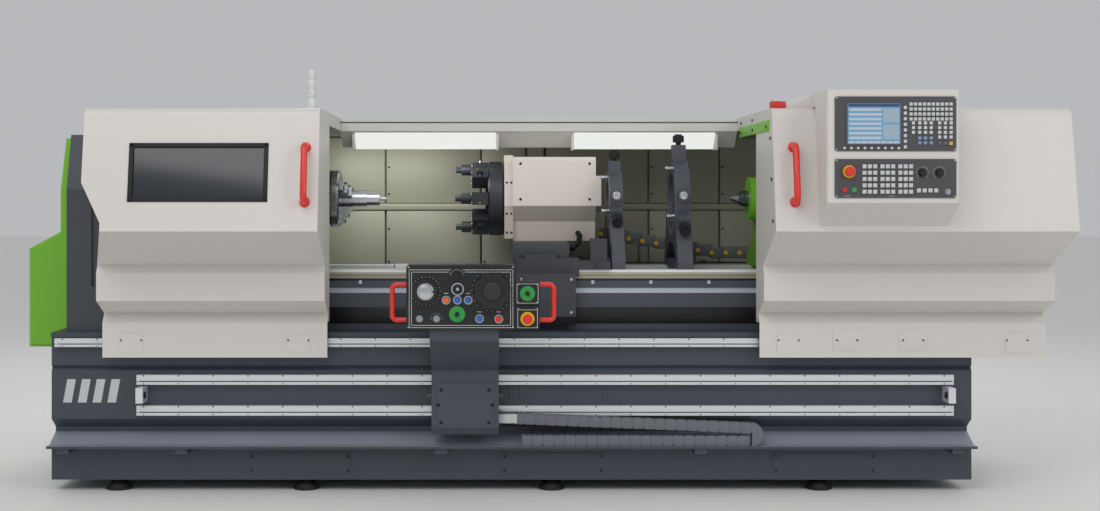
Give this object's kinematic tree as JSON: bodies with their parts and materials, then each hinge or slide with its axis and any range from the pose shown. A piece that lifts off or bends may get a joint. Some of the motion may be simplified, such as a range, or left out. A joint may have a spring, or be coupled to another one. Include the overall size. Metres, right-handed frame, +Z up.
{
  "type": "cnc turning lathe",
  "caption": "flat-bed turning lathe with sliding covers, chuck, tool turret, steady rests, tailstock and a sliding handwheel panel",
  "frame": {"origin": "on the floor, midway along the length and depth of the machine", "axes": "+X along the spindle towards the tailstock, +Y away from the operator, +Z up"},
  "size_m": [4.354, 1.955, 1.812],
  "materials": {
    "cover_paint": "smooth warm grey paint",
    "base_paint": "dark blue grey paint",
    "green_paint": "green paint",
    "beam_paint": "light paint",
    "cast": "machined casting",
    "steel": "ground steel",
    "red_paint": "red coating",
    "black": "black",
    "orange": "clear cap",
    "blue": "clear cap",
    "clear": "clear polycarbonate",
    "lamp": "diffuser"
  },
  "bodies": {
    "machine": {"base_casting": "base_paint", "levelling_feet": "cast", "bed": "cast", "guide_rails": "steel", "headstock": "green_paint", "end_cabinet": "base_paint", "belt_guard": "green_paint", "rear_housing": "base_paint", "top_beam": "beam_paint", "lamps": "lamp", "signal_tower": "lamp", "cable_chain_lower": "black"},
    "left_cover_body": {"left_cover": "cover_paint", "left_window": "clear", "left_pull": "red_paint"},
    "right_cover_body": {"right_cover": "cover_paint", "right_pull": "red_paint", "control_box": "base_paint", "display_panel": "black", "machine_panel": "black"},
    "carriage": {"apron": "black", "pendant_box": "black", "pendant_grips": "red_paint", "cable_chain_upper": "black"},
    "chain_bend": {"cable_chain_loop": "black"},
    "saddle_body": {"saddle": "cast"},
    "slide_body": {"cross_slide": "cast", "turret_housing": "beam_paint"},
    "turret": {"turret_disc": "steel", "tool_holders": "steel"},
    "spindle": {"chuck": "steel", "test_piece": "steel"},
    "tailstock_body": {"tailstock": "green_paint"},
    "quill_body": {"quill": "steel"},
    "jaw_body_1": {"chuck_jaw_1": "steel"},
    "jaw_body_2": {"chuck_jaw_2": "steel"},
    "jaw_body_3": {"chuck_jaw_3": "steel"},
    "rest_body_1": {"steady_rest_1": "steel"},
    "rest_1_top_jaw": {"steady_1_jaw_top": "steel"},
    "rest_1_front_jaw": {"steady_1_jaw_front": "steel"},
    "rest_1_rear_jaw": {"steady_1_jaw_rear": "steel"},
    "rest_body_2": {"steady_rest_2": "steel"},
    "rest_2_top_jaw": {"steady_2_jaw_top": "steel"},
    "rest_2_front_jaw": {"steady_2_jaw_front": "steel"},
    "rest_2_rear_jaw": {"steady_2_jaw_rear": "steel"},
    "left_handwheel_body": {"left_handwheel": "black"},
    "right_handwheel_body": {"right_handwheel": "black"},
    "mode_selector_body": {"mode_selector": "black"},
    "feed_stick_body": {"feed_stick": "black"},
    "side_stick_body": {"side_stick": "black"},
    "pendant_stop_body": {"pendant_stop_button": "red_paint"},
    "button_orange_body": {"button_orange": "orange"},
    "button_blue_left_body": {"button_blue_left": "blue"},
    "button_blue_right_body": {"button_blue_right": "blue"},
    "button_blue_low_body": {"button_blue_low": "blue"},
    "button_red_body": {"button_red": "red_paint"},
    "control_stop_body": {"control_stop_button": "red_paint"},
    "feed_knob_body": {"feed_knob": "black"},
    "speed_knob_body": {"speed_knob": "black"},
    "key_switch_body": {"key_switch": "black"}
  },
  "joints": [
    {"name": "left_cover_slide", "type": "slide", "parent": "machine", "child": "left_cover_body", "axis": [1, 0, 0], "range_m": [0, 0.7]},
    {"name": "right_cover_slide", "type": "slide", "parent": "machine", "child": "right_cover_body", "axis": [1, 0, 0], "range_m": [-1.08, 0]},
    {"name": "carriage_slide", "type": "slide", "parent": "machine", "child": "carriage", "axis": [1, 0, 0], "range_m": [-1.17, 1.65], "deforming": ["cable_chain_lower", "cable_chain_upper"]},
    {"name": "chain_bend_slide", "type": "slide", "parent": "machine", "child": "chain_bend", "axis": [1, 0, 0], "range_m": [-0.585, 0.825]},
    {"name": "saddle_slide", "type": "slide", "parent": "machine", "child": "saddle_body", "axis": [1, 0, 0], "range_m": [-0.42, 0.005]},
    {"name": "cross_slide_feed", "type": "slide", "parent": "saddle_body", "child": "slide_body", "axis": [0, -1, 0], "range_m": [-0.12, 0.03]},
    {"name": "turret_index", "type": "hinge", "parent": "slide_body", "child": "turret", "pos_m": [-0.1, 0.23, 1.228], "axis": [1, 0, 0], "continuous": true},
    {"name": "spindle_turn", "type": "hinge", "parent": "machine", "child": "spindle", "pos_m": [-0.85, 0, 1.228], "axis": [1, 0, 0], "continuous": true},
    {"name": "chuck_jaw_slide_1", "type": "slide", "parent": "spindle", "child": "jaw_body_1", "axis": [0, 0, -1], "range_m": [0, 0.012]},
    {"name": "chuck_jaw_slide_2", "type": "slide", "parent": "spindle", "child": "jaw_body_2", "axis": [0, 0.866, 0.5], "range_m": [0, 0.012]},
    {"name": "chuck_jaw_slide_3", "type": "slide", "parent": "spindle", "child": "jaw_body_3", "axis": [0, -0.866, 0.5], "range_m": [0, 0.012]},
    {"name": "tailstock_slide", "type": "slide", "parent": "machine", "child": "tailstock_body", "axis": [1, 0, 0], "range_m": [0, 0.3]},
    {"name": "quill_feed", "type": "slide", "parent": "tailstock_body", "child": "quill_body", "axis": [-1, 0, 0], "range_m": [0, 0.1]},
    {"name": "steady_rest_slide_1", "type": "slide", "parent": "machine", "child": "rest_body_1", "axis": [1, 0, 0], "range_m": [0, 0.11]},
    {"name": "steady_1_top_jaw_feed", "type": "slide", "parent": "rest_body_1", "child": "rest_1_top_jaw", "axis": [0, 0, 1], "range_m": [0, 0.02]},
    {"name": "steady_1_front_jaw_feed", "type": "slide", "parent": "rest_body_1", "child": "rest_1_front_jaw", "axis": [0, -0.866, -0.5], "range_m": [0, 0.02]},
    {"name": "steady_1_rear_jaw_feed", "type": "slide", "parent": "rest_body_1", "child": "rest_1_rear_jaw", "axis": [0, 0.866, -0.5], "range_m": [0, 0.02]},
    {"name": "steady_rest_slide_2", "type": "slide", "parent": "machine", "child": "rest_body_2", "axis": [1, 0, 0], "range_m": [-0.03, 0.1]},
    {"name": "steady_2_top_jaw_feed", "type": "slide", "parent": "rest_body_2", "child": "rest_2_top_jaw", "axis": [0, 0, 1], "range_m": [0, 0.02]},
    {"name": "steady_2_front_jaw_feed", "type": "slide", "parent": "rest_body_2", "child": "rest_2_front_jaw", "axis": [0, -0.866, -0.5], "range_m": [0, 0.02]},
    {"name": "steady_2_rear_jaw_feed", "type": "slide", "parent": "rest_body_2", "child": "rest_2_rear_jaw", "axis": [0, 0.866, -0.5], "range_m": [0, 0.02]},
    {"name": "left_handwheel_turn", "type": "hinge", "parent": "carriage", "child": "left_handwheel_body", "pos_m": [-0.388, -0.722, 0.859], "axis": [0, 1, 0], "continuous": true},
    {"name": "right_handwheel_turn", "type": "hinge", "parent": "carriage", "child": "right_handwheel_body", "pos_m": [-0.123, -0.722, 0.862], "axis": [0, 1, 0], "continuous": true},
    {"name": "mode_selector_turn", "type": "hinge", "parent": "carriage", "child": "mode_selector_body", "pos_m": [-0.264, -0.722, 0.919], "axis": [0, 1, 0], "range_deg": [-75, 75]},
    {"name": "feed_stick_tilt", "type": "hinge", "parent": "carriage", "child": "feed_stick_body", "pos_m": [-0.263, -0.725, 0.768], "axis": [0, 0, 1], "range_deg": [-3, 3], "stiffness_Nm_per_rad": 0.5},
    {"name": "side_stick_tilt", "type": "hinge", "parent": "carriage", "child": "side_stick_body", "pos_m": [0.0175, -0.719, 0.85], "axis": [0, 0, 1], "range_deg": [-3, 3], "stiffness_Nm_per_rad": 0.5},
    {"name": "pendant_stop_press", "type": "slide", "parent": "carriage", "child": "pendant_stop_body", "axis": [0, 1, 0], "range_m": [0, 0.004], "stiffness_N_per_m": 300},
    {"name": "button_orange_press", "type": "slide", "parent": "carriage", "child": "button_orange_body", "axis": [0, 1, 0], "range_m": [0, 0.0035], "stiffness_N_per_m": 300},
    {"name": "button_blue_left_press", "type": "slide", "parent": "carriage", "child": "button_blue_left_body", "axis": [0, 1, 0], "range_m": [0, 0.0035], "stiffness_N_per_m": 300},
    {"name": "button_blue_right_press", "type": "slide", "parent": "carriage", "child": "button_blue_right_body", "axis": [0, 1, 0], "range_m": [0, 0.0035], "stiffness_N_per_m": 300},
    {"name": "button_blue_low_press", "type": "slide", "parent": "carriage", "child": "button_blue_low_body", "axis": [0, 1, 0], "range_m": [0, 0.0035], "stiffness_N_per_m": 300},
    {"name": "button_red_press", "type": "slide", "parent": "carriage", "child": "button_red_body", "axis": [0, 1, 0], "range_m": [0, 0.0035], "stiffness_N_per_m": 300},
    {"name": "control_stop_press", "type": "slide", "parent": "right_cover_body", "child": "control_stop_body", "axis": [0, 1, 0], "range_m": [0, 0.004], "stiffness_N_per_m": 300},
    {"name": "feed_knob_turn", "type": "hinge", "parent": "right_cover_body", "child": "feed_knob_body", "pos_m": [1.586, -0.965, 1.328], "axis": [0, 1, 0], "range_deg": [-130, 130]},
    {"name": "speed_knob_turn", "type": "hinge", "parent": "right_cover_body", "child": "speed_knob_body", "pos_m": [1.521, -0.965, 1.328], "axis": [0, 1, 0], "range_deg": [-130, 130]},
    {"name": "key_switch_turn", "type": "hinge", "parent": "right_cover_body", "child": "key_switch_body", "pos_m": [1.618, -0.965, 1.255], "axis": [0, 1, 0], "range_deg": [0, 90]}
  ],
  "couplings": [
    {"joint": "chain_bend_slide", "follows": "carriage_slide", "ratio": 0.5},
    {"joint": "chuck_jaw_slide_2", "follows": "chuck_jaw_slide_1", "ratio": 1},
    {"joint": "chuck_jaw_slide_3", "follows": "chuck_jaw_slide_1", "ratio": 1}
  ]
}
